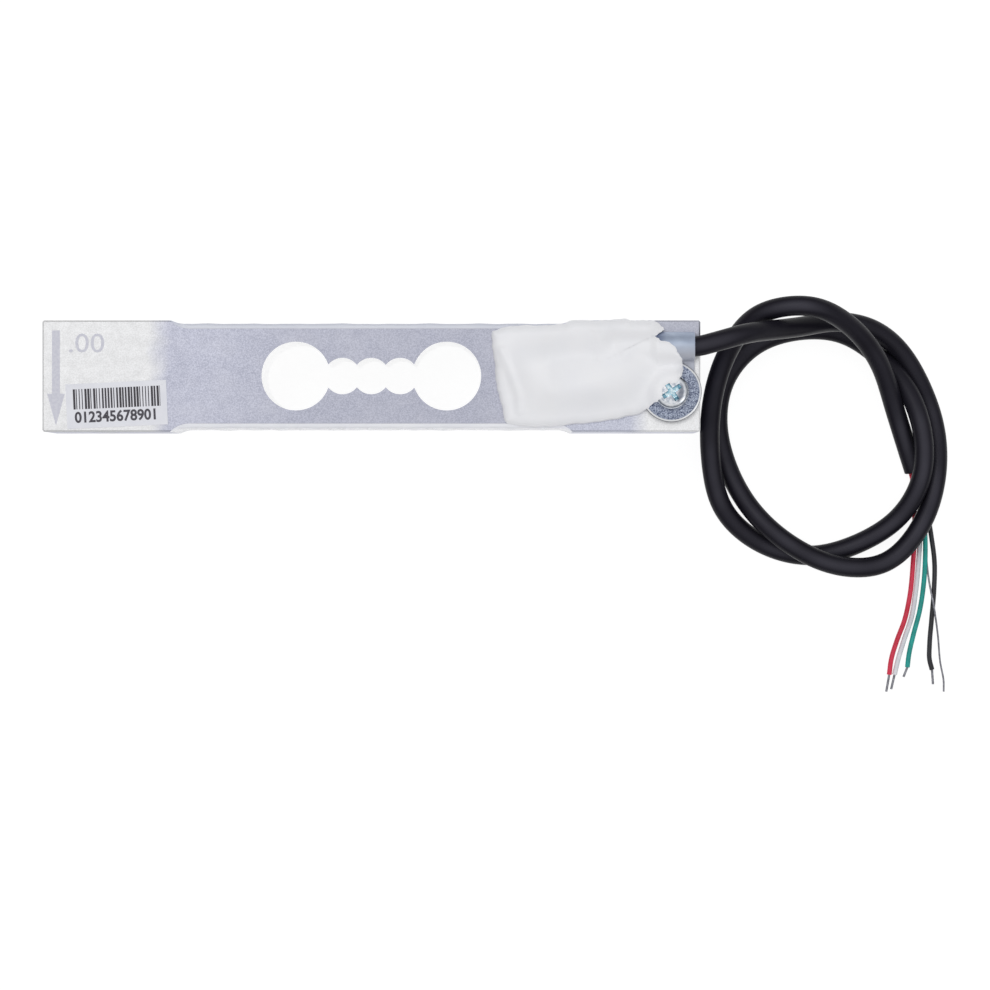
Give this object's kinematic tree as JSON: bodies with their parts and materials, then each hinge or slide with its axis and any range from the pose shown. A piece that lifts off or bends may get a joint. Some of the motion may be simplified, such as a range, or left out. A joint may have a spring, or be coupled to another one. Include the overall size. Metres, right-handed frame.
{
  "type": "single point load cell",
  "caption": "Single point load cell: a rectangular aluminium beam with a binocular opening, silicone sealed gauges, tapped end holes and a clamped cable ending in bare wires.",
  "frame": {"origin": "middle of the beam's length and height, on the face that it lies on", "axes": "+X along the beam to the cable end, +Y across its height against the load, +Z from the resting side to the side with the cable clamp"},
  "size_m": [0.181, 0.0798, 0.0357],
  "materials": {
    "beam_aluminium": "matt, fine ground faces, bright end block",
    "gauge_foil": "copper coloured foil on an amber carrier",
    "lead_enamel": "enamelled copper",
    "seal_silicone": "satin white silicone",
    "board_green": "satin solder mask",
    "resistor_black": "matt",
    "solder_tin": "bright",
    "potting_silicone": "satin white silicone, lumpy",
    "clip_steel": "smooth bluish zinc plate",
    "washer_zinc": "mottled zinc plate",
    "screw_zinc": "zinc plate",
    "label_paper": "matt",
    "sheath_black": "satin",
    "wire_red": "satin",
    "wire_white": "satin",
    "wire_green": "satin",
    "wire_black": "satin",
    "tinned_copper": "twisted tinned strands"
  },
  "bodies": {
    "root": {"spring_body": "beam_aluminium", "gauge_top_load_end": "gauge_foil", "gauge_top_cable_end": "gauge_foil", "gauge_bottom_load_end": "gauge_foil", "gauge_bottom_cable_end": "gauge_foil", "top_gauge_leads": "lead_enamel", "bottom_gauge_leads": "lead_enamel", "top_seal": "seal_silicone", "bottom_seal": "seal_silicone", "terminal_board": "board_green", "zero_resistor": "resistor_black", "span_resistor": "resistor_black", "solder_joints": "solder_tin", "red_core": "wire_red", "white_core": "wire_white", "green_core": "wire_green", "black_core": "wire_black", "potting": "potting_silicone", "cable_clip": "clip_steel", "clip_washer": "washer_zinc", "clip_screw": "screw_zinc", "label": "label_paper", "cable_sheath": "sheath_black", "red_wire": "wire_red", "white_wire": "wire_white", "green_wire": "wire_green", "black_wire": "wire_black", "red_tip": "tinned_copper", "white_tip": "tinned_copper", "green_tip": "tinned_copper", "black_tip": "tinned_copper", "drain_wire": "tinned_copper"}
  },
  "joints": []
}
